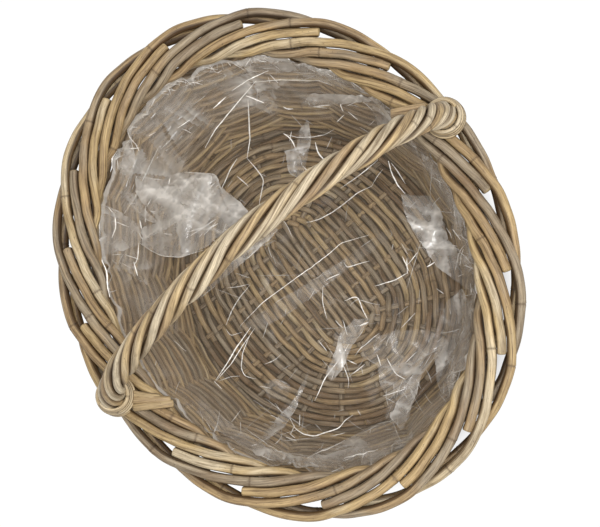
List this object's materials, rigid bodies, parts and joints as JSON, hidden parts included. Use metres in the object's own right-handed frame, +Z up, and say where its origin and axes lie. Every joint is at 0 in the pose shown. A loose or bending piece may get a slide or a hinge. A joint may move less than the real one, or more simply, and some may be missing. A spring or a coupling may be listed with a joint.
{
  "type": "rattan basket",
  "caption": "Oval woven rattan basket with a plaited border, a roped bow handle across its middle and a loose clear film liner.",
  "frame": {"origin": "on the ground under the middle of the basket", "axes": "+X along the longer side of the oval, +Y across it towards one foot of the handle, +Z up"},
  "size_m": [0.3998, 0.3516, 0.3118],
  "materials": {
    "border_rattan": "satin peeled cane, weathered grey-brown",
    "handle_rattan": "satin peeled cane, pale grey-straw",
    "weave_rattan": "dull cane, grey-brown",
    "stick_rattan": "dull cane, grey-brown",
    "clear_film": "clear crinkled film"
  },
  "bodies": {
    "root": {"stake_01": "border_rattan", "stake_02": "border_rattan", "stake_03": "border_rattan", "stake_04": "border_rattan", "stake_05": "border_rattan", "stake_06": "border_rattan", "stake_07": "border_rattan", "stake_08": "border_rattan", "stake_09": "border_rattan", "stake_10": "border_rattan", "stake_11": "border_rattan", "stake_12": "border_rattan", "stake_13": "border_rattan", "stake_14": "border_rattan", "stake_15": "border_rattan", "stake_16": "border_rattan", "stake_17": "border_rattan", "stake_18": "border_rattan", "handle_strand_1": "handle_rattan", "handle_strand_2": "handle_rattan", "handle_strand_3": "handle_rattan", "handle_strand_4": "handle_rattan", "handle_strand_5": "handle_rattan", "handle_strand_6": "handle_rattan", "handle_bow": "handle_rattan", "handle_collar_left": "handle_rattan", "handle_collar_right": "handle_rattan", "foot_wale": "weave_rattan", "side_weave_lower": "weave_rattan", "side_weave_upper": "weave_rattan", "top_wale": "weave_rattan", "base_weave": "weave_rattan", "base_short_stick_1": "stick_rattan", "base_short_stick_2": "stick_rattan", "base_long_stick_1": "stick_rattan", "base_long_stick_2": "stick_rattan", "base_long_stick_3": "stick_rattan", "base_long_stick_4": "stick_rattan", "base_side_stick_1": "stick_rattan", "base_side_stick_2": "stick_rattan", "base_side_stick_3": "stick_rattan", "base_side_stick_4": "stick_rattan", "base_side_stick_5": "stick_rattan", "base_side_stick_6": "stick_rattan", "base_side_stick_7": "stick_rattan", "base_side_stick_8": "stick_rattan", "liner_film": "clear_film"}
  },
  "joints": []
}
